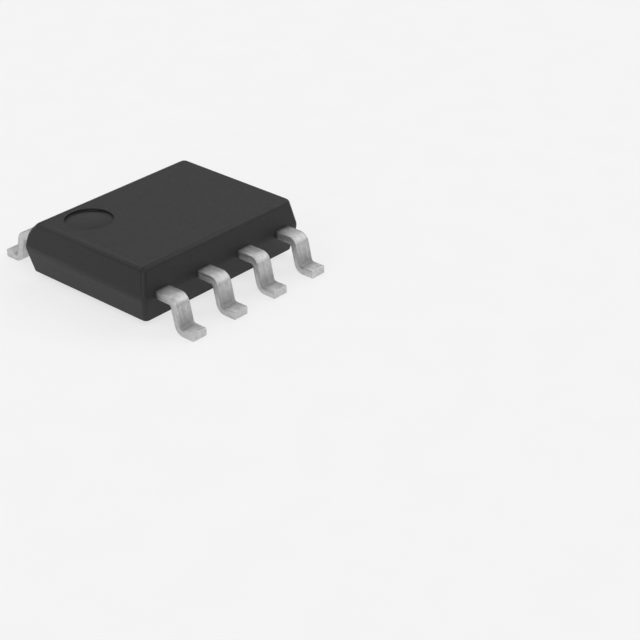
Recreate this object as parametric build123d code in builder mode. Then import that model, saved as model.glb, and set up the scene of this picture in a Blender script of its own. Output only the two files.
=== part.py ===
from build123d import *
from math import hypot, radians, tan
import os

# An eight-lead small-outline chip: moulded body, gull-wing leads, and the lead frame, die and wires inside.
# X runs along the body, Y across it to the two rows of leads, and Z up.
# The origin is on the seating plane, under the middle of the body.

# Moulded body, widest at the parting plane, from which both halves taper.
body_length = 4.92
body_width = 3.94
standoff = 0.125
lower_height = 0.625
upper_height = 0.675
end_draft = 12
side_draft = 11
edge_radius = 0.12
bottom_edge_radius = 0.04

# Bevel along the long top edge at +Y, and the round index recess beside it.
bevel_width = 0.25
bevel_depth = 0.31
bevel_top_radius = 0.29
bevel_low_radius = 0.52
index_diameter = 1.10
index_depth = 0.065
index_from_end = 0.88
index_from_side = 1.00

# Leads.
lead_pitch = 1.27
leads_per_row = 4
lead_span = 6.12
lead_width = 0.41
sheet_thickness = 0.19
foot_run = 0.44
riser_lean = 13
bend_radius = 0.165

# Paddle in the middle of the lead frame, and the tie bars that held it.
pad_length = 2.50
pad_width = 1.90
pad_downset = 0.15
pad_corner_cut = 0.10
tie_bar_width = 0.30
tie_bar_step_start = 0.18
tie_bar_step_run = 0.20
tie_bar_cover = 0.12

# Fingers of the leads inside the body.
finger_gap = 0.20
finger_tip_gap = 0.26
finger_corner_cut = 0.14
finger_head_width = 0.62
finger_head_length = 0.26
finger_shoulder = 0.12
lock_hole_diameter = 0.24

# Die and its adhesive.
die_length = 1.20
die_width = 1.00
die_thickness = 0.25
adhesive_thickness = 0.025
adhesive_flare = 0.04

# Bond wires.
wire_diameter = 0.03
ball_diameter = 0.08
ball_height = 0.03
wire_rise = 0.20
bond_inset = 0.10
bond_spacing = 0.44
stitch_inset = 0.15

# Heights and places that follow from the sizes above.
parting_height = standoff + lower_height
body_top = parting_height + upper_height
frame_bottom = parting_height - sheet_thickness / 2
frame_top = parting_height + sheet_thickness / 2
pad_bottom = frame_bottom - pad_downset
pad_top = pad_bottom + sheet_thickness
die_bottom = pad_top + adhesive_thickness
die_top = die_bottom + die_thickness

heel_y = lead_span / 2 - foot_run
knee_y = heel_y - (parting_height - sheet_thickness / 2) * tan(radians(riser_lean))
finger_side_y = pad_width / 2 + finger_gap
finger_end_x = pad_length / 2 + finger_gap
finger_tip_y = tie_bar_width / 2 + finger_tip_gap
inner_lead_x = lead_pitch / 2
corner_lead_x = lead_pitch * (leads_per_row - 1) / 2

top_length = body_length - 2 * upper_height * tan(radians(end_draft))
top_width = body_width - 2 * upper_height * tan(radians(side_draft))
index_x = index_from_end - top_length / 2
index_y = top_width / 2 - index_from_side


def lower_half():
    """Lower half of the body: two tapered outlines crossed, with its edges and corners rounded."""
    end_taper = lower_height * tan(radians(end_draft))
    side_taper = lower_height * tan(radians(side_draft))
    with BuildPart() as half:
        with BuildSketch(Plane.YZ):
            with BuildLine():
                Polyline(
                    (-body_width / 2, parting_height),
                    (-body_width / 2 + side_taper, standoff),
                    (body_width / 2 - side_taper, standoff),
                    (body_width / 2, parting_height),
                    close=True,
                )
            make_face()
        extrude(amount=body_length / 2, both=True)
        with BuildSketch(Plane.XZ):
            with BuildLine():
                Polyline(
                    (-body_length / 2, parting_height),
                    (-body_length / 2 + end_taper, standoff),
                    (body_length / 2 - end_taper, standoff),
                    (body_length / 2, parting_height),
                    close=True,
                )
            make_face()
        extrude(amount=body_width / 2, both=True, mode=Mode.INTERSECT)
        corner_edges = half.edges() - half.edges().filter_by(Axis.X) - half.edges().filter_by(Axis.Y)
        fillet(corner_edges, edge_radius)
        fillet(half.faces().sort_by(Axis.Z)[0].edges(), bottom_edge_radius)
    return half.part


def upper_half():
    """Upper half of the body, with the bevel drawn in its cross section."""
    end_taper = upper_height * tan(radians(end_draft))
    side_taper = upper_height * tan(radians(side_draft))
    bevel_low_y = top_width / 2 + bevel_depth * tan(radians(side_draft))
    with BuildPart() as half:
        with BuildSketch(Plane.YZ) as cross_section:
            with BuildLine():
                Polyline(
                    (-body_width / 2, parting_height),
                    (-body_width / 2 + side_taper, body_top),
                    (top_width / 2 - bevel_width, body_top),
                    (bevel_low_y, body_top - bevel_depth),
                    (body_width / 2, parting_height),
                    close=True,
                )
            make_face()
            bevel_corners = cross_section.vertices().sort_by_distance((top_width / 2, body_top))[:2]
            top_corner, low_corner = bevel_corners.sort_by(Axis.Y)
            fillet(top_corner, bevel_top_radius)
            fillet(low_corner, bevel_low_radius)
        extrude(amount=body_length / 2, both=True)
        with BuildSketch(Plane.XZ):
            with BuildLine():
                Polyline(
                    (-body_length / 2, parting_height),
                    (-body_length / 2 + end_taper, body_top),
                    (body_length / 2 - end_taper, body_top),
                    (body_length / 2, parting_height),
                    close=True,
                )
            make_face()
        extrude(amount=body_width / 2, both=True, mode=Mode.INTERSECT)
        ends = half.faces().sort_by(Axis.X)
        end_edges = ends[0].edges().sort_by(Axis.Z)[1:] + ends[-1].edges().sort_by(Axis.Z)[1:]
        plain_top_edge = half.edges().filter_by(Axis.X).group_by(Axis.Z)[-1].sort_by(Axis.Y)[0]
        fillet(end_edges + [plain_top_edge], edge_radius)
    return half.part


def gull_wing(x):
    """Outer run of a lead of the +Y row: shoulder, knee, leaning riser, heel and flat foot."""
    with BuildPart() as wing:
        with BuildSketch(Plane.YZ.offset(x)):
            with BuildLine() as middle_line:
                FilletPolyline(
                    (finger_side_y + finger_head_length, parting_height),
                    (knee_y, parting_height),
                    (heel_y, sheet_thickness / 2),
                    (lead_span / 2, sheet_thickness / 2),
                    radius=bend_radius,
                )
            trace(line_width=sheet_thickness)
        extrude(amount=lead_width / 2, both=True)
    return wing.part


# Inner lead of the +Y row at +X: its finger spreads into a head beside the paddle, which locks it.
with BuildPart() as inner_lead:
    add(gull_wing(inner_lead_x))
    with BuildSketch(Plane.XY.offset(frame_bottom)):
        head_y = finger_side_y + finger_head_length
        with BuildLine():
            Polyline(
                (inner_lead_x - finger_head_width / 2, finger_side_y),
                (inner_lead_x + finger_head_width / 2, finger_side_y),
                (inner_lead_x + finger_head_width / 2, head_y),
                (inner_lead_x + lead_width / 2, head_y + finger_shoulder),
                (inner_lead_x - lead_width / 2, head_y + finger_shoulder),
                (inner_lead_x - finger_head_width / 2, head_y),
                close=True,
            )
        make_face()
    extrude(amount=sheet_thickness)

# Corner lead of the +Y row at +X: its finger runs past the paddle's end and is locked by a hole.
with BuildPart() as corner_lead:
    add(gull_wing(corner_lead_x))
    with BuildSketch(Plane.XY.offset(frame_bottom)):
        outer_x = corner_lead_x + lead_width / 2
        neck_x = corner_lead_x - lead_width / 2
        neck_y = finger_side_y + finger_head_length + finger_shoulder
        with BuildLine():
            Polyline(
                (finger_end_x, finger_tip_y),
                (outer_x - finger_corner_cut, finger_tip_y),
                (outer_x, finger_tip_y + finger_corner_cut),
                (outer_x, neck_y),
                (neck_x, neck_y),
                (neck_x, neck_y - finger_shoulder),
                (finger_end_x, finger_side_y),
                close=True,
            )
        make_face()
        with Locations(((finger_end_x + outer_x) / 2, (finger_tip_y + neck_y) / 2)):
            Circle(lock_hole_diameter / 2, mode=Mode.SUBTRACT)
    extrude(amount=sheet_thickness)

# The eight leads: 1 to 4 along the bevelled side from -X to +X, then 5 to 8 back along the other side.
row_x = [lead_pitch * (place - (leads_per_row - 1) / 2) for place in range(leads_per_row)]
lead_places = [(x, 1) for x in row_x] + [(x, -1) for x in reversed(row_x)]
leads = []
for number, (lead_x, side) in enumerate(lead_places, start=1):
    at_corner = abs(lead_x) > lead_pitch
    with BuildPart() as lead:
        add(corner_lead.part if at_corner else inner_lead.part)
        if lead_x < 0:
            mirror(about=Plane.YZ, mode=Mode.REPLACE)
        if side < 0:
            mirror(about=Plane.XZ, mode=Mode.REPLACE)
    lead.part.label = f"lead_{number}"
    leads.append(lead.part)

# Paddle of the lead frame, with a tie bar at each end that cranks up to the level of the leads.
with BuildPart() as die_pad:
    with BuildSketch(Plane.XY.offset(pad_bottom)):
        outline = Rectangle(pad_length, pad_width)
        chamfer(outline.vertices(), pad_corner_cut)
    extrude(amount=sheet_thickness)
    pad_middle = pad_bottom + sheet_thickness / 2
    step_start_x = pad_length / 2 + tie_bar_step_start
    with BuildSketch(Plane.XZ):
        with BuildLine():
            Polyline(
                (pad_length / 2 - sheet_thickness, pad_middle),
                (step_start_x, pad_middle),
                (step_start_x + tie_bar_step_run, parting_height),
                (body_length / 2 - tie_bar_cover, parting_height),
            )
        trace(line_width=sheet_thickness)
        mirror(about=Plane.YZ)
    extrude(amount=tie_bar_width / 2, both=True)

# Adhesive squeezed out a little all round under the die.
with BuildPart() as die_attach:
    with BuildSketch(Plane.XY.offset(pad_top)):
        Rectangle(die_length + 2 * adhesive_flare, die_width + 2 * adhesive_flare)
    with BuildSketch(Plane.XY.offset(die_bottom)):
        Rectangle(die_length, die_width)
    loft()

# Silicon die.
with BuildPart() as die:
    with BuildSketch(Plane.XY.offset(die_bottom)):
        Rectangle(die_length, die_width)
    extrude(amount=die_thickness)


def bond_wire(bond_x, bond_y, stitch_x, stitch_y):
    """Wire that rises from its ball on the die, kinks over and runs down to its stitch on a finger."""
    run = hypot(stitch_x - bond_x, stitch_y - bond_y)
    loop_plane = Plane(
        origin=(bond_x, bond_y, die_top),
        x_dir=(stitch_x - bond_x, stitch_y - bond_y, 0),
        z_dir=(stitch_y - bond_y, bond_x - stitch_x, 0),
    )
    with BuildPart() as wire:
        with BuildLine(loop_plane) as loop:
            Polyline(
                (0, ball_height / 2),
                (0, wire_rise),
                (run, frame_top - die_top),
            )
        with BuildSketch(Plane(origin=loop.line @ 0, z_dir=loop.line % 0)):
            Circle(wire_diameter / 2)
        sweep(transition=Transition.RIGHT)
        split(bisect_by=Plane.XY.offset(frame_top), keep=Keep.TOP)
        with BuildSketch(Plane.XY.offset(die_top)):
            with Locations((bond_x, bond_y)):
                Circle(ball_diameter / 2)
        extrude(amount=ball_height)
    return wire.part


# A wire for each lead, from the die's nearest edge to the finger's tip.
wires = []
for number, (lead_x, side) in enumerate(lead_places, start=1):
    end = 1 if lead_x > 0 else -1
    if abs(lead_x) > lead_pitch:
        bond = (end * (die_length / 2 - bond_inset), side * bond_spacing / 2)
        stitch = (end * (finger_end_x + stitch_inset), side * (finger_tip_y + stitch_inset))
    else:
        bond = (end * bond_spacing / 2, side * (die_width / 2 - bond_inset))
        stitch = (end * inner_lead_x, side * (finger_side_y + stitch_inset))
    wire = bond_wire(*bond, *stitch)
    wire.label = f"bond_wire_{number}"
    wires.append(wire)

# Mould compound, which fills everything around the lead frame, die and wires.
with BuildPart() as mould_body:
    add(lower_half())
    add(upper_half())
    with BuildSketch(Plane.XY.offset(body_top)):
        with Locations((index_x, index_y)):
            Circle(index_diameter / 2)
    extrude(amount=-index_depth, mode=Mode.SUBTRACT)
    for inside in leads + [die_pad.part, die_attach.part, die.part] + wires:
        add(inside, mode=Mode.SUBTRACT)

mould_body.part.label = "mould_body"
die_pad.part.label = "die_pad"
die_attach.part.label = "die_attach"
die.part.label = "die"

os.makedirs("parts", exist_ok=True)
for piece in [mould_body.part, *leads, die_pad.part, die_attach.part, die.part, *wires]:
    export_step(piece, f"parts/{piece.label}.step")
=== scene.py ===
from math import atan2, cos, hypot, pi, radians, sin, tan

import bmesh
import bpy
from mathutils import Matrix, Vector


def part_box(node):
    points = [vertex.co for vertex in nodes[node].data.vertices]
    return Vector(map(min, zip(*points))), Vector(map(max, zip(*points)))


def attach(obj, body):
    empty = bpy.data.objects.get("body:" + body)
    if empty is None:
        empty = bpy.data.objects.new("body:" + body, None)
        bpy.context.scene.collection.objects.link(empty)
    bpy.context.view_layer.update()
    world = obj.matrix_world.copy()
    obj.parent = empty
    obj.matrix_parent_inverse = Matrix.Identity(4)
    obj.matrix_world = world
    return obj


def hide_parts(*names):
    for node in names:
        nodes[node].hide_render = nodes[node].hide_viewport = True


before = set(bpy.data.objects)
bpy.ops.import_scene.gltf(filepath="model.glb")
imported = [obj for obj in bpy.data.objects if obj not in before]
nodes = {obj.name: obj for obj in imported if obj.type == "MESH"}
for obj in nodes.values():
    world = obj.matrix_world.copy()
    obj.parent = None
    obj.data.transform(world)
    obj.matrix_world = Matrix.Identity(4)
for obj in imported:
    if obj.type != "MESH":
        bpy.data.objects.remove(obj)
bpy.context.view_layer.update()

# Paddle of the lead frame with its two cranked tie bars. It is punched from the same rolled copper
# alloy as the leads and set down below them. It is left bare, so that the adhesive and the compound
# can grip it: a pinkish brown metal with fine marks in the rolling direction.
mm = 0.001
rolling_mark_width = 0.02
rolling_mark_depth = 0.001
rolling_stretch = (0.1, 1, 1)


def linear(colour):
    """Turns an sRGB hex colour into linear red, green, blue and alpha."""
    channels = [int(colour[start : start + 2], 16) / 255 for start in (1, 3, 5)]
    return [c / 12.92 if c <= 0.04045 else ((c + 0.055) / 1.055) ** 2.4 for c in channels] + [1.0]


def new_material(name):
    """Starts a material and gives its node tree, its shader and its object coordinates."""
    material = bpy.data.materials.new(name)
    material.use_nodes = True
    tree = material.node_tree
    shader = tree.nodes["Principled BSDF"]
    coordinates = tree.nodes.new("ShaderNodeTexCoord").outputs["Object"]
    return material, tree, shader, coordinates


def add_node(tree, kind, settings):
    """Adds a node. A setting is a property, a socket's value, or the output that feeds it."""
    node = tree.nodes.new(kind)
    for name, value in settings.items():
        if isinstance(name, str) and name not in node.inputs:
            setattr(node, name, value)
        elif isinstance(value, bpy.types.NodeSocket):
            tree.links.new(value, node.inputs[name])
        else:
            node.inputs[name].default_value = value
    return node


def paint(node, material):
    """Gives a CAD node's object its one material."""
    node.data.materials.clear()
    node.data.materials.append(material)


# The colour sockets of a Mix node in colour mode: the first, the second and the mixed one.
FIRST_COLOUR = 6
SECOND_COLOUR = 7
MIXED_COLOUR = 2

copper, tree, shader, coordinates = new_material("rolled_copper_alloy")
along_rolling = add_node(tree, "ShaderNodeMapping", {"Vector": coordinates, "Scale": rolling_stretch})
rolling_marks = add_node(tree, "ShaderNodeTexNoise", {
    "Vector": along_rolling.outputs[0], "Scale": 1 / (rolling_mark_width * mm), "Detail": 3,
})
tarnish = add_node(tree, "ShaderNodeMix", {
    "data_type": "RGBA",
    "Factor": rolling_marks.outputs["Fac"],
    FIRST_COLOUR: linear("#b87b5c"),
    SECOND_COLOUR: linear("#cf9878"),
})
copper_grain = add_node(tree, "ShaderNodeBump", {
    "Height": rolling_marks.outputs["Fac"], "Distance": rolling_mark_depth * mm,
})
shader.inputs["Metallic"].default_value = 1
shader.inputs["Roughness"].default_value = 0.38
tree.links.new(tarnish.outputs[MIXED_COLOUR], shader.inputs["Base Color"])
tree.links.new(copper_grain.outputs[0], shader.inputs["Normal"])
paint(nodes["die_pad"], copper)

# The eight leads. Each is punched flat from the lead frame's strip, with a spread or cranked finger
# that the compound locks, then pressed into a gull wing with two bends, and plated with matte tin.
lead_width = 0.41
sheet = 0.19
punched_edge = 0.018
edge_segments = 3
bend_radius = 0.165
riser_lean = radians(13)
foot_run = 0.44
steps_per_bend = 14
pad_length = 2.50
pad_width = 1.90
finger_gap = 0.20
finger_tip_gap = 0.26
tie_bar_width = 0.30
head_width = 0.62
head_length = 0.26
shoulder = 0.12
corner_cut = 0.14
lock_hole_radius = 0.12
lock_hole_segments = 48
punched_corner = radians(60)
shaded_sharp = radians(35)
flush = radians(1)
weld = 1e-6

tip_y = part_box("lead_1")[1].y / mm
sheet_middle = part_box("lead_1")[1].z / mm - sheet / 2
bend_turn = pi / 2 - riser_lean
bend_length = bend_radius * bend_turn
tangent = bend_radius * tan(bend_turn / 2)
heel_y = tip_y - foot_run
drop = sheet_middle - sheet / 2
knee_y = heel_y - drop * tan(riser_lean)
riser_length = hypot(heel_y - knee_y, drop) - 2 * tangent
knee_start = knee_y - tangent
heel_start = knee_start + bend_length + riser_length
blank_end = heel_start + bend_length + foot_run - tangent
side_y = pad_width / 2 + finger_gap
end_x = pad_length / 2 + finger_gap
finger_tip_y = tie_bar_width / 2 + finger_tip_gap


def inner_lead_outline(x):
    """Outline of a middle lead's flat blank, from the spread head of its finger to its foot."""
    half, head = lead_width / 2, head_width / 2
    return [
        (x - head, side_y), (x + head, side_y), (x + head, side_y + head_length),
        (x + half, side_y + head_length + shoulder), (x + half, blank_end),
        (x - half, blank_end), (x - half, side_y + head_length + shoulder),
        (x - head, side_y + head_length),
    ]


def corner_lead_outline(x):
    """Outline of a corner lead's flat blank, whose finger runs on past the paddle's end."""
    half = lead_width / 2
    neck_y = side_y + head_length + shoulder
    return [
        (end_x, finger_tip_y), (x + half - corner_cut, finger_tip_y),
        (x + half, finger_tip_y + corner_cut), (x + half, blank_end),
        (x - half, blank_end), (x - half, neck_y - shoulder), (end_x, side_y),
    ]


def sharp_edges(bm, angle):
    """Edges whose two faces meet at more than the angle."""
    return [
        edge for edge in bm.edges
        if len(edge.link_faces) == 2 and edge.calc_face_angle() > angle
    ]


def press_bend(bm, start, turn):
    """Bends what lies past start along Y: a short zone curves and the rest swings with it."""
    centre_z = bend_radius if turn > 0 else -bend_radius
    for vert in bm.verts:
        if vert.co.y > start:
            share = min((vert.co.y - start) / bend_length, 1)
            beyond = max(vert.co.y - start - bend_length, 0)
            arm = Vector((vert.co.x, beyond, vert.co.z - centre_z))
            centre = Vector((0, start, centre_z))
            vert.co = centre + Matrix.Rotation(turn * share, 3, "X") @ arm


def finish_mesh(bm, name, material):
    """Turns a bmesh drawn in millimetres into a piece in metres, with flat faces shaded flat."""
    bmesh.ops.scale(bm, vec=(mm, mm, mm), verts=bm.verts)
    bmesh.ops.recalc_face_normals(bm, faces=bm.faces)
    for face in bm.faces:
        face.smooth = True
    mesh = bpy.data.meshes.new(name)
    bm.to_mesh(mesh)
    bm.free()
    mesh.set_sharp_from_angle(angle=shaded_sharp)
    mesh.materials.append(material)
    piece = bpy.data.objects.new(name, mesh)
    bpy.context.scene.collection.objects.link(piece)
    flat_shading = piece.modifiers.new("flat faces stay flat", "WEIGHTED_NORMAL")
    flat_shading.keep_sharp = True
    return piece


def punched_lead(name, outline, hole, mirror_x, mirror_y):
    """Punches a blank, rounds its edges, bends it and lays it at its place in the row."""
    bm = bmesh.new()
    blank_place = bm.verts.layers.float_vector.new("blank")
    corners = [bm.verts.new((x, y, -sheet / 2)) for x, y in outline]
    rim = [bm.edges.new((a, b)) for a, b in zip(corners, corners[1:] + corners[:1])]
    if hole:
        hole_place = Matrix.Translation((*hole, -sheet / 2))
        ring = bmesh.ops.create_circle(
            bm, segments=lock_hole_segments, radius=lock_hole_radius, matrix=hole_place
        )
        rim += list({edge for vert in ring["verts"] for edge in vert.link_edges})
    bmesh.ops.triangle_fill(bm, use_beauty=True, use_dissolve=False, edges=rim)
    upper_side = bmesh.ops.extrude_face_region(bm, geom=bm.faces[:])
    raised = [item for item in upper_side["geom"] if isinstance(item, bmesh.types.BMVert)]
    bmesh.ops.translate(bm, vec=(0, 0, sheet), verts=raised)
    bmesh.ops.recalc_face_normals(bm, faces=bm.faces)
    bmesh.ops.dissolve_limit(bm, angle_limit=flush, verts=bm.verts, edges=bm.edges)
    bmesh.ops.bevel(
        bm, geom=sharp_edges(bm, punched_corner), offset=punched_edge, offset_type="OFFSET",
        affect="EDGES", segments=edge_segments, profile=0.5, material=-1,
    )
    for zone_start in (knee_start, heel_start):
        for step in range(steps_per_bend + 1):
            cut_y = zone_start + bend_length * step / steps_per_bend
            bmesh.ops.bisect_plane(
                bm, geom=bm.verts[:] + bm.edges[:] + bm.faces[:], dist=weld,
                plane_co=(0, cut_y, 0), plane_no=(0, 1, 0),
            )
    for vert in bm.verts:
        vert[blank_place] = vert.co * mm
    press_bend(bm, heel_start, bend_turn)
    press_bend(bm, knee_start, -bend_turn)
    bmesh.ops.translate(bm, vec=(0, 0, sheet_middle), verts=bm.verts)
    turned_over = (-1 if mirror_x else 1, -1 if mirror_y else 1, 1)
    bmesh.ops.scale(bm, vec=turned_over, verts=bm.verts)
    return finish_mesh(bm, name, tin)


# Matte tin: a soft, pale grey metal with fine plating grain, and drag lines along the strip from the
# bending tools. The grain is about five times coarser than real, or it wouldn't show. The press dulls
# the riser down to the heel, and the riser and the heel's crease are painted darker there as painted
# shade; each lead is also painted darker where it leaves the body, as painted shade.
grain_size = 0.03
grain_depth = 0.002
cloud_size = 0.10
drag_line_spacing = 0.08
drag_line_depth = 0.0025
drag_line_stretch = (1, 0.05, 1)
# Zone of the riser and heel that the press makes rougher, and that is painted darker as painted
# shade.
dull_from = knee_start + 0.8 * bend_length
dull_fully = heel_start + 0.04
dull_until = heel_start + bend_length - 0.04
dull_no_more = heel_start + bend_length + 0.12
# Painted shade where each lead leaves the body: how far it reaches and how dark it is.
root_shade_overlap = 0.02
root_shade_reach = 0.08
root_shade_strength = 0.6
tin, tree, shader, coordinates = new_material("matte_tin_plating")
blank = add_node(tree, "ShaderNodeAttribute", {"attribute_name": "blank"}).outputs["Vector"]
blank_axes = add_node(tree, "ShaderNodeSeparateXYZ", {"Vector": blank}).outputs
grain = add_node(tree, "ShaderNodeTexNoise", {
    "Vector": coordinates, "Scale": 1 / (grain_size * mm), "Detail": 4,
})
cloud = add_node(tree, "ShaderNodeTexNoise", {
    "Vector": coordinates, "Scale": 1 / (cloud_size * mm), "Detail": 4,
})
along_strip = add_node(tree, "ShaderNodeMapping", {"Vector": blank, "Scale": drag_line_stretch})
drag_lines = add_node(tree, "ShaderNodeTexNoise", {
    "Vector": along_strip.outputs[0], "Scale": 1 / (drag_line_spacing * mm),
    "Detail": 4, "Roughness": 0.6,
})
uneven = add_node(tree, "ShaderNodeMath", {
    "operation": "MULTIPLY_ADD", 0: cloud.outputs["Fac"], 1: 0.7, 2: drag_lines.outputs["Fac"],
})
uneven_share = add_node(tree, "ShaderNodeMapRange", {
    "Value": uneven.outputs[0], "From Min": 0.5, "From Max": 1.2,
})
plating_tone = add_node(tree, "ShaderNodeMix", {
    "data_type": "RGBA",
    "Factor": uneven_share.outputs[0],
    FIRST_COLOUR: linear("#bababa"),
    SECOND_COLOUR: linear("#eaeaea"),
})
riser_part = add_node(tree, "ShaderNodeMapRange", {
    "interpolation_type": "SMOOTHSTEP", "Value": blank_axes["Y"],
    "From Min": dull_from * mm, "From Max": dull_fully * mm,
})
heel_part = add_node(tree, "ShaderNodeMapRange", {
    "interpolation_type": "SMOOTHSTEP", "Value": blank_axes["Y"],
    "From Min": dull_until * mm, "From Max": dull_no_more * mm, "To Min": 1, "To Max": 0,
})
upper_face = add_node(tree, "ShaderNodeMapRange", {
    "interpolation_type": "SMOOTHSTEP", "Value": blank_axes["Z"],
    "From Min": 0, "From Max": 0.4 * sheet * mm,
})
dull_stretch = add_node(tree, "ShaderNodeMath", {
    "operation": "MULTIPLY", 0: riser_part.outputs[0], 1: heel_part.outputs[0],
})
pressed_and_shaded = add_node(tree, "ShaderNodeMath", {
    "operation": "MULTIPLY", 0: dull_stretch.outputs[0], 1: upper_face.outputs[0],
})
# Painted shade: the riser's face and the heel's crease are painted darker.
painted_riser_shade = add_node(tree, "ShaderNodeMix", {
    "data_type": "RGBA",
    "blend_type": "MULTIPLY",
    "Factor": pressed_and_shaded.outputs[0],
    FIRST_COLOUR: plating_tone.outputs[MIXED_COLOUR],
    SECOND_COLOUR: linear("#e0e0e0"),
})
body_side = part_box("mould_body")[1].y
# Painted shade: each lead is painted darker just where it leaves the body, standing in for the shade
# there.
painted_root_shade = add_node(tree, "ShaderNodeMapRange", {
    "interpolation_type": "SMOOTHSTEP", "Value": blank_axes["Y"],
    "From Min": body_side - root_shade_overlap * mm, "From Max": body_side + root_shade_reach * mm,
    "To Min": root_shade_strength, "To Max": 0,
})
root_shaded_tone = add_node(tree, "ShaderNodeMix", {
    "data_type": "RGBA",
    "Factor": painted_root_shade.outputs[0],
    FIRST_COLOUR: painted_riser_shade.outputs[MIXED_COLOUR],
    SECOND_COLOUR: linear("#4c4c4c"),
})
plating_gloss = add_node(tree, "ShaderNodeMapRange", {
    "Value": drag_lines.outputs["Fac"], "From Min": 0.3, "From Max": 0.7,
    "To Min": 0.42, "To Max": 0.58,
})
pressed_gloss = add_node(tree, "ShaderNodeMapRange", {
    "Value": pressed_and_shaded.outputs[0], "To Min": plating_gloss.outputs[0], "To Max": 0.8,
})
fine_bump = add_node(tree, "ShaderNodeBump", {
    "Height": grain.outputs["Fac"], "Distance": grain_depth * mm,
})
line_bump = add_node(tree, "ShaderNodeBump", {
    "Height": drag_lines.outputs["Fac"], "Distance": drag_line_depth * mm,
    "Normal": fine_bump.outputs[0],
})
shader.inputs["Metallic"].default_value = 1
tree.links.new(root_shaded_tone.outputs[MIXED_COLOUR], shader.inputs["Base Color"])
tree.links.new(pressed_gloss.outputs[0], shader.inputs["Roughness"])
tree.links.new(line_bump.outputs[0], shader.inputs["Normal"])

for number in range(1, 9):
    low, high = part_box(f"lead_{number}")
    outer_x = max(abs(low.x), abs(high.x)) / mm
    if outer_x > pad_length / 2:
        outline = corner_lead_outline(outer_x - lead_width / 2)
        neck_y = side_y + head_length + shoulder
        hole = ((end_x + outer_x) / 2, (finger_tip_y + neck_y) / 2)
    else:
        outline = inner_lead_outline(abs(low.x + high.x) / 2 / mm)
        hole = None
    piece = punched_lead(
        f"gull_wing_{number}", outline, hole,
        mirror_x=low.x + high.x < 0, mirror_y=low.y + high.y < 0,
    )
    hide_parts(f"lead_{number}")
    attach(piece, "root")

# Adhesive under the die: epoxy filled with silver flakes, dispensed wet and cured, so it is a dull
# grey paste with a fine sparkle, squeezed out a little all round.
flake_size = 0.015
flake_depth = 0.001
adhesive, tree, shader, coordinates = new_material("silver_filled_epoxy")
flakes = add_node(tree, "ShaderNodeTexVoronoi", {
    "Vector": coordinates, "Scale": 1 / (flake_size * mm),
})
flake_tone = add_node(tree, "ShaderNodeMix", {
    "data_type": "RGBA",
    "Factor": flakes.outputs["Distance"],
    FIRST_COLOUR: linear("#b9b9b6"),
    SECOND_COLOUR: linear("#8e8e8c"),
})
flake_bump = add_node(tree, "ShaderNodeBump", {
    "Height": flakes.outputs["Distance"], "Distance": flake_depth * mm,
})
shader.inputs["Roughness"].default_value = 0.45
shader.inputs["Metallic"].default_value = 0.5
tree.links.new(flake_tone.outputs[MIXED_COLOUR], shader.inputs["Base Color"])
tree.links.new(flake_bump.outputs[0], shader.inputs["Normal"])
paint(nodes["die_attach"], adhesive)

# The die: a block of silicon sawn from a polished wafer. Its circuits are too fine to see apart and
# read as blocks of slightly different blue-grey.
circuit_block = 0.25
etching_depth = 0.0005
silicon, tree, shader, coordinates = new_material("polished_silicon")
blocks = add_node(tree, "ShaderNodeTexBrick", {
    "Vector": coordinates,
    "Scale": 1 / (circuit_block * mm),
    "Color1": linear("#4a4f5e"),
    "Color2": linear("#3b3f4d"),
    "Mortar": linear("#6b6f78"),
    "Mortar Size": 0.02,
})
etched = add_node(tree, "ShaderNodeBump", {
    "Height": blocks.outputs["Fac"], "Distance": etching_depth * mm,
})
shader.inputs["Roughness"].default_value = 0.15
tree.links.new(blocks.outputs["Color"], shader.inputs["Base Color"])
tree.links.new(etched.outputs[0], shader.inputs["Normal"])
paint(nodes["die"], silicon)

# Bond wires: drawn gold, balled by a spark on the die and pressed into a stitch on the finger. Soft,
# bright and faintly marked by the capillary.
draw_mark_width = 0.01
draw_mark_depth = 0.0004
gold, tree, shader, coordinates = new_material("drawn_gold")
draw_marks = add_node(tree, "ShaderNodeTexNoise", {
    "Vector": coordinates, "Scale": 1 / (draw_mark_width * mm), "Detail": 2,
})
gold_tone = add_node(tree, "ShaderNodeMix", {
    "data_type": "RGBA",
    "Factor": draw_marks.outputs["Fac"],
    FIRST_COLOUR: linear("#e3b04a"),
    SECOND_COLOUR: linear("#f4cf74"),
})
draw_bump = add_node(tree, "ShaderNodeBump", {
    "Height": draw_marks.outputs["Fac"], "Distance": draw_mark_depth * mm,
})
shader.inputs["Metallic"].default_value = 1
shader.inputs["Roughness"].default_value = 0.22
tree.links.new(gold_tone.outputs[MIXED_COLOUR], shader.inputs["Base Color"])
tree.links.new(draw_bump.outputs[0], shader.inputs["Normal"])
for number in range(1, 9):
    paint(nodes[f"bond_wire_{number}"], gold)

# Moulded body: black epoxy with silica filler, transfer-moulded round the lead frame in two mould
# halves. It tapers both ways from the parting line, has a long bevel over one row of leads, and a
# round index recess.
body_low, body_high = (Vector(corner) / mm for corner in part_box("mould_body"))
end_draft = radians(12)
side_draft = radians(11)
bevel_width = 0.25
bevel_depth = 0.31
bevel_top_radius = 0.29
bevel_low_radius = 0.52
bevel_segments = 12
rounded_edge = 0.105
rounded_edge_rings = 7
bottom_edge = 0.033
bottom_edge_rings = 4
parting_edge = 0.08
parting_edge_rings = 5
index_radius = 0.55
index_depth = 0.065
index_from_end = 0.88
index_from_side = 1.00
index_segments = 128
index_rim = 0.012
index_rim_rings = 3
flat_border = 0.02
mould_corner = radians(30)
same_place = 1e-4

half_length, half_width = body_high.x, body_high.y
parting = sheet_middle
top, bottom = body_high.z, body_low.z
top_half_width = half_width - (top - parting) * tan(side_draft)
bottom_half_width = half_width - (parting - bottom) * tan(side_draft)
bevel_low_y = top_half_width + bevel_depth * tan(side_draft)


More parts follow.
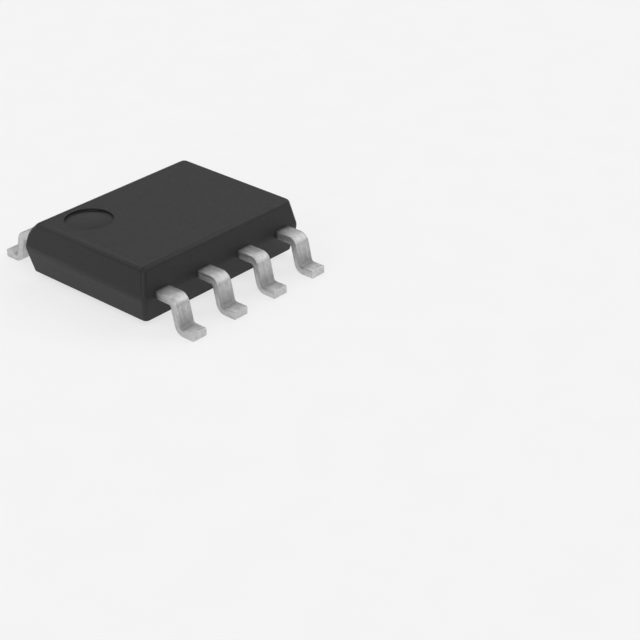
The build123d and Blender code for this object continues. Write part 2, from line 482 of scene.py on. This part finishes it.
def cut_end(bm, side, lean):
    """Cuts one end of the block to the draft of one mould half and closes the cut."""
    cut_normal = (side * cos(end_draft), 0, lean * sin(end_draft))
    bmesh.ops.bisect_plane(
        bm, geom=bm.verts[:] + bm.edges[:] + bm.faces[:], dist=weld,
        plane_co=(side * half_length, 0, parting), plane_no=cut_normal, clear_outer=True,
    )
    bmesh.ops.holes_fill(bm, edges=[edge for edge in bm.edges if edge.is_boundary], sides=0)


def edges_along_x(bm, y, z):
    """The long edge that runs along the body through the point in its cross section."""
    return [
        edge for edge in bm.edges
        if all(hypot(vert.co.y - y, vert.co.z - z) < same_place for vert in edge.verts)
    ]


def edges_between(verts):
    """The edges of a ring whose two ends both belong to the vertices."""
    chosen = set(verts)
    edges = {edge for vert in verts for edge in vert.link_edges}
    return [edge for edge in edges if chosen.issuperset(edge.verts)]


def edges_at_height(bm, z):
    """The edges that lie level at the height."""
    return [
        edge for edge in bm.edges if all(abs(vert.co.z - z) < same_place for vert in edge.verts)
    ]


def round_edges(bm, edges, offset, segments):
    """Rounds the edges with an arc that starts the offset away on either side."""
    bmesh.ops.bevel(
        bm, geom=edges, offset=offset, offset_type="OFFSET", affect="EDGES",
        segments=segments, profile=0.5, material=-1, loop_slide=True,
    )


bm = bmesh.new()
section = [
    (-half_width, parting), (-bottom_half_width, bottom),
    (bottom_half_width, bottom), (half_width, parting),
    (bevel_low_y, top - bevel_depth), (top_half_width - bevel_width, top), (-top_half_width, top),
]
end_corners = [bm.verts.new((-half_length, y, z)) for y, z in section]
end_face = bm.faces.new(end_corners)
run = bmesh.ops.extrude_face_region(bm, geom=[end_face])
bmesh.ops.translate(
    bm, vec=(2 * half_length, 0, 0),
    verts=[item for item in run["geom"] if isinstance(item, bmesh.types.BMVert)],
)
bmesh.ops.recalc_face_normals(bm, faces=bm.faces)
for side in (-1, 1):
    for lean in (-1, 1):
        cut_end(bm, side, lean)
bmesh.ops.recalc_face_normals(bm, faces=bm.faces)

bevel_angle = atan2(bevel_depth, bevel_low_y - top_half_width + bevel_width)
round_edges(
    bm, edges_along_x(bm, top_half_width - bevel_width, top),
    bevel_top_radius * tan(bevel_angle / 2), bevel_segments,
)
round_edges(
    bm, edges_along_x(bm, bevel_low_y, top - bevel_depth),
    bevel_low_radius * tan((pi / 2 - side_draft - bevel_angle) / 2), bevel_segments,
)
bottom_and_parting = edges_at_height(bm, bottom) + edges_at_height(bm, parting)
round_edges(
    bm, [edge for edge in sharp_edges(bm, mould_corner) if edge not in bottom_and_parting],
    rounded_edge, rounded_edge_rings,
)
round_edges(bm, edges_at_height(bm, bottom), bottom_edge, bottom_edge_rings)
round_edges(bm, edges_at_height(bm, parting), parting_edge, parting_edge_rings)

top_end_x = (top - parting) * tan(end_draft) - half_length
index_place = Vector((index_from_end + top_end_x, top_half_width - index_from_side, top))
top_face = max(bm.faces, key=lambda face: face.normal.z * face.calc_area())
bmesh.ops.inset_region(bm, faces=[top_face], thickness=flat_border, use_even_offset=True)
top_rim = top_face.edges[:]
bmesh.ops.delete(bm, geom=[top_face], context="FACES_ONLY")
ring = bmesh.ops.create_circle(
    bm, segments=index_segments, radius=index_radius + flat_border,
    matrix=Matrix.Translation(index_place),
)
outer_ring = edges_between(ring["verts"])
bmesh.ops.triangle_fill(
    bm, use_beauty=True, use_dissolve=False, edges=top_rim + outer_ring, normal=(0, 0, 1),
)
border = bmesh.ops.extrude_edge_only(bm, edges=outer_ring)
rim_verts = [item for item in border["geom"] if isinstance(item, bmesh.types.BMVert)]
for vert in rim_verts:
    outwards = vert.co - index_place
    vert.co = index_place + outwards * index_radius / (index_radius + flat_border)
rim_edges = edges_between(rim_verts)
wall = bmesh.ops.extrude_edge_only(bm, edges=rim_edges)
floor_verts = [item for item in wall["geom"] if isinstance(item, bmesh.types.BMVert)]
bmesh.ops.translate(bm, vec=(0, 0, -index_depth), verts=floor_verts)
bmesh.ops.holes_fill(bm, edges=edges_between(floor_verts), sides=0)
round_edges(bm, rim_edges, index_rim, index_rim_rings)
round_edges(bm, edges_between(floor_verts), index_rim, index_rim_rings)

# Matte black epoxy: the spark-eroded mould leaves a fine, even grain, and the silica filler makes
# the black slightly uneven. The grain is drawn a little coarser than real, so that it shows.
erosion_size = 0.05
erosion_depth = 0.004
filler_cloud = 0.6
filler_speck = 0.045
compound, tree, shader, coordinates = new_material("spark_eroded_black_epoxy")
eroded = add_node(tree, "ShaderNodeTexNoise", {
    "Vector": coordinates, "Scale": 1 / (erosion_size * mm), "Detail": 5, "Roughness": 0.6,
})
filler = add_node(tree, "ShaderNodeTexNoise", {
    "Vector": coordinates, "Scale": 1 / (filler_cloud * mm), "Detail": 4,
})
speckle = add_node(tree, "ShaderNodeTexVoronoi", {
    "Vector": coordinates, "Scale": 1 / (filler_speck * mm),
})
speck_share = add_node(tree, "ShaderNodeMapRange", {
    "Value": speckle.outputs["Distance"], "From Min": 0.05, "From Max": 0.3,
    "To Min": 0.5, "To Max": 0,
})
filler_tone = add_node(tree, "ShaderNodeMix", {
    "data_type": "RGBA",
    "Factor": filler.outputs["Fac"],
    FIRST_COLOUR: linear("#0d0d0d"),
    SECOND_COLOUR: linear("#121212"),
})
speckled = add_node(tree, "ShaderNodeMix", {
    "data_type": "RGBA",
    "Factor": speck_share.outputs[0],
    FIRST_COLOUR: filler_tone.outputs[MIXED_COLOUR],
    SECOND_COLOUR: linear("#1d1d1d"),
})
matte = add_node(tree, "ShaderNodeMapRange", {
    "Value": eroded.outputs["Fac"], "From Min": 0.3, "From Max": 0.7,
    "To Min": 0.42, "To Max": 0.52,
})
erosion_bump = add_node(tree, "ShaderNodeBump", {
    "Height": eroded.outputs["Fac"], "Distance": erosion_depth * mm,
})
shader.inputs["Specular IOR Level"].default_value = 0.54
tree.links.new(speckled.outputs[MIXED_COLOUR], shader.inputs["Base Color"])
tree.links.new(matte.outputs[0], shader.inputs["Roughness"])
tree.links.new(erosion_bump.outputs[0], shader.inputs["Normal"])

body = finish_mesh(bm, "moulded_body", compound)
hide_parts("mould_body")
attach(body, "root")

# Studio: a wide pale card in a dim room, with a ring of soft boxes. The front ones light the faces
# and the knees of the leads, the two low ones the near corner and edge, the back ones the top edges.
# The card glows for the camera, so that its shadows stay faint, and less in reflections.
card_half = 0.6
card_glow = 0.72
mirrored_glow = 0.46
paper_cloud = 1.2
card, tree, shader, coordinates = new_material("pale_card")
paper = add_node(tree, "ShaderNodeTexNoise", {
    "Vector": coordinates, "Scale": 1 / (paper_cloud * mm), "Detail": 3,
})
paper_tone = add_node(tree, "ShaderNodeMix", {
    "data_type": "RGBA",
    "Factor": paper.outputs["Fac"],
    FIRST_COLOUR: linear("#fafafa"),
    SECOND_COLOUR: linear("#fdfdfd"),
})
shader.inputs["Roughness"].default_value = 0.9
shader.inputs["Specular IOR Level"].default_value = 0.2
tree.links.new(paper_tone.outputs[MIXED_COLOUR], shader.inputs["Base Color"])
rays = add_node(tree, "ShaderNodeLightPath", {}).outputs
seen_directly = add_node(tree, "ShaderNodeMath", {
    "operation": "MULTIPLY", 0: rays["Is Camera Ray"], 1: card_glow,
})
mirrored = add_node(tree, "ShaderNodeMath", {
    "operation": "MAXIMUM", 0: rays["Is Glossy Ray"], 1: rays["Is Transmission Ray"],
})
glow_share = add_node(tree, "ShaderNodeMath", {
    "operation": "MULTIPLY_ADD",
    0: mirrored.outputs[0], 1: mirrored_glow, 2: seen_directly.outputs[0],
})
glow = add_node(tree, "ShaderNodeEmission", {"Color": paper_tone.outputs[MIXED_COLOUR]})
glowing_card = add_node(tree, "ShaderNodeMixShader", {
    "Fac": glow_share.outputs[0], 1: shader.outputs[0], 2: glow.outputs[0],
})
tree.links.new(glowing_card.outputs[0], tree.nodes["Material Output"].inputs["Surface"])
bm = bmesh.new()
bmesh.ops.create_grid(bm, x_segments=1, y_segments=1, size=card_half)
floor_mesh = bpy.data.meshes.new("studio_card")
bm.to_mesh(floor_mesh)
bm.free()
floor_mesh.materials.append(card)
floor = bpy.data.objects.new("studio_card", floor_mesh)
bpy.context.scene.collection.objects.link(floor)
lamp_distance = 0.30


def soft_box(name, azimuth, elevation, size, power):
    """A square area lamp that looks at the chip. Azimuth 0 is in front, at -Y, and 90 is at +X."""
    lamp = bpy.data.lights.new(name, "AREA")
    lamp.shape = "SQUARE"
    lamp.size = size
    lamp.energy = power
    holder = bpy.data.objects.new(name, lamp)
    turn, rise = radians(azimuth), radians(elevation)
    towards_lamp = Vector((sin(turn) * cos(rise), -cos(turn) * cos(rise), sin(rise)))
    holder.location = towards_lamp * lamp_distance
    holder.rotation_euler = towards_lamp.to_track_quat("Z", "Y").to_euler()
    bpy.context.scene.collection.objects.link(holder)


soft_box("front_left_box", azimuth=-22, elevation=42, size=0.22, power=0.27)
soft_box("low_left_box", azimuth=-66, elevation=10, size=0.10, power=0.13)
soft_box("low_right_box", azimuth=48, elevation=26, size=0.13, power=0.06)
soft_box("front_right_box", azimuth=66, elevation=41, size=0.20, power=0.165)
soft_box("back_right_box", azimuth=118, elevation=44, size=0.24, power=0.12)
soft_box("back_box", azimuth=165, elevation=51, size=0.18, power=0.12)
soft_box("back_left_box", azimuth=-141, elevation=35, size=0.27, power=0.23)

room = bpy.data.worlds.new("dim_room")
room.use_nodes = True
room.node_tree.nodes["Background"].inputs["Color"].default_value = linear("#707070")
bpy.context.scene.world = room
bpy.context.scene.view_settings.view_transform = "Standard"

# Camera, as fitted to the photograph: a long lens that looks at a point on the card in front of the
# chip, so that the chip stands in the upper left of the picture.
aim_point = Vector((0.387, -4.440, 0)) * mm
view_azimuth = radians(-48.47)
view_elevation = radians(29.25)
view_roll = radians(-0.26)
view_distance = 37.73 * mm
back = Vector((
    sin(view_azimuth) * cos(view_elevation),
    -cos(view_azimuth) * cos(view_elevation),
    sin(view_elevation),
))
lens = bpy.data.cameras.new("product_camera")
lens.lens = 97.75
lens.clip_start = 1 * mm
lens.clip_end = 3
camera = bpy.data.objects.new("product_camera", lens)
camera.location = aim_point + back * view_distance
camera.rotation_mode = "QUATERNION"
roll = Matrix.Rotation(view_roll, 3, "Z").to_quaternion()
camera.rotation_quaternion = back.to_track_quat("Z", "Y") @ roll
bpy.context.scene.collection.objects.link(camera)
bpy.context.scene.camera = camera
